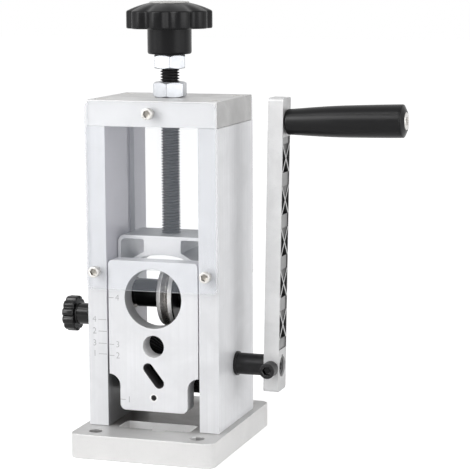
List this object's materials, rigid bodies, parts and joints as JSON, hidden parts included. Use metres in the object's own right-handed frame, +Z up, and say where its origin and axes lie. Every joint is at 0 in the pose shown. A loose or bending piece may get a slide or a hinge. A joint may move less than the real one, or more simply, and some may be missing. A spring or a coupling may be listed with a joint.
{
  "type": "hand crank wire stripper",
  "caption": "Hand cranked bench cable stripper: a grooved feed roller under a cutter wheel in a slider that a top knob lowers, with a sliding guide plate in front.",
  "frame": {"origin": "on the underside of the base plate, straight below the axis of the adjusting screw", "axes": "+X to the side that the crank is on, +Y to the back, where the stripped cable comes out, +Z up along the adjusting screw"},
  "size_m": [0.2101, 0.1166, 0.2782],
  "materials": {
    "plate_aluminium": "fine brushed",
    "satin_aluminium": "satin, blasted",
    "cast_aluminium": "cast, satin",
    "clear_acrylic": "clear, polished",
    "zinc_steel": "bright zinc",
    "stainless_steel": "bright stainless",
    "black_steel": "black oxide",
    "tool_steel": "ground, with polished bevels",
    "bronze": "sintered",
    "black_plastic": "satin moulded",
    "gloss_black_plastic": "glossy moulded",
    "grey_plastic": "satin moulded"
  },
  "bodies": {
    "frame": {"base_plate": "satin_aluminium", "side_plate_left": "plate_aluminium", "side_plate_right": "plate_aluminium", "top_plate": "satin_aluminium", "front_guard": "clear_acrylic", "rear_guard": "clear_acrylic", "guard_screw_front_top": "stainless_steel", "guard_screw_front_left": "stainless_steel", "guard_screw_front_right": "stainless_steel", "guard_screw_rear_top": "stainless_steel", "guard_screw_rear_left": "stainless_steel", "guard_screw_rear_right": "stainless_steel", "top_screw_1": "black_steel", "top_screw_2": "black_steel", "top_screw_3": "black_steel", "top_screw_4": "black_steel", "base_screw_1": "black_steel", "base_screw_2": "black_steel", "base_screw_3": "black_steel", "base_screw_4": "black_steel", "shaft_bush_left": "bronze", "shaft_bush_right": "bronze", "thrust_washer": "black_steel", "lock_nut": "zinc_steel"},
    "crank": {"drive_shaft": "black_steel", "feed_roller": "black_steel", "roller_key": "black_steel", "shaft_clip": "black_steel", "crank_arm": "cast_aluminium", "crank_key": "black_steel", "crank_clamp_screw": "black_steel", "handle_bolt": "stainless_steel"},
    "handle": {"handle_grip": "black_plastic"},
    "slider": {"slider_block": "plate_aluminium", "axle_bush_left": "bronze", "axle_bush_right": "bronze"},
    "blade": {"blade_axle": "black_steel", "blade_wheel": "tool_steel"},
    "screw": {"adjusting_screw": "black_steel", "screw_retainer": "black_steel", "knob_nut": "zinc_steel", "hand_knob": "black_plastic", "knob_cap": "grey_plastic"},
    "guide": {"guide_plate": "plate_aluminium"},
    "stud": {"clamp_stud": "black_steel"},
    "clamp": {"clamp_knob": "gloss_black_plastic"}
  },
  "joints": [
    {"name": "crank_spin", "type": "hinge", "parent": "frame", "child": "crank", "pos_m": [0, 0, 0.0529], "axis": [1, 0, 0], "continuous": true},
    {"name": "handle_spin", "type": "hinge", "parent": "crank", "child": "handle", "pos_m": [0.07542, 0, 0.20509], "axis": [0.9996, 0, 0.0279], "continuous": true},
    {"name": "slider_lift", "type": "slide", "parent": "frame", "child": "slider", "axis": [0, 0, 1], "range_m": [-0.003, 0.068]},
    {"name": "blade_spin", "type": "hinge", "parent": "slider", "child": "blade", "pos_m": [0, 0, 0.0948], "axis": [1, 0, 0], "continuous": true},
    {"name": "screw_turn", "type": "hinge", "parent": "slider", "child": "screw", "pos_m": [0, 0, 0.2], "axis": [0, 0, 1], "range_deg": [-620, 13992]},
    {"name": "guide_slide", "type": "slide", "parent": "frame", "child": "guide", "axis": [0, 0, 1], "range_m": [-0.014, 0.028]},
    {"name": "clamp_slide", "type": "slide", "parent": "frame", "child": "stud", "axis": [-1, 0, 0], "range_m": [0, 0.008]},
    {"name": "clamp_turn", "type": "hinge", "parent": "stud", "child": "clamp", "pos_m": [-0.05, -0.0285, 0.0848], "axis": [-1, 0, 0], "range_deg": [-4, 2884]}
  ],
  "couplings": [
    {"joint": "screw_turn", "follows": "slider_lift", "rad_per_m": 3590.4},
    {"joint": "clamp_turn", "follows": "clamp_slide", "rad_per_m": 6283.2}
  ]
}
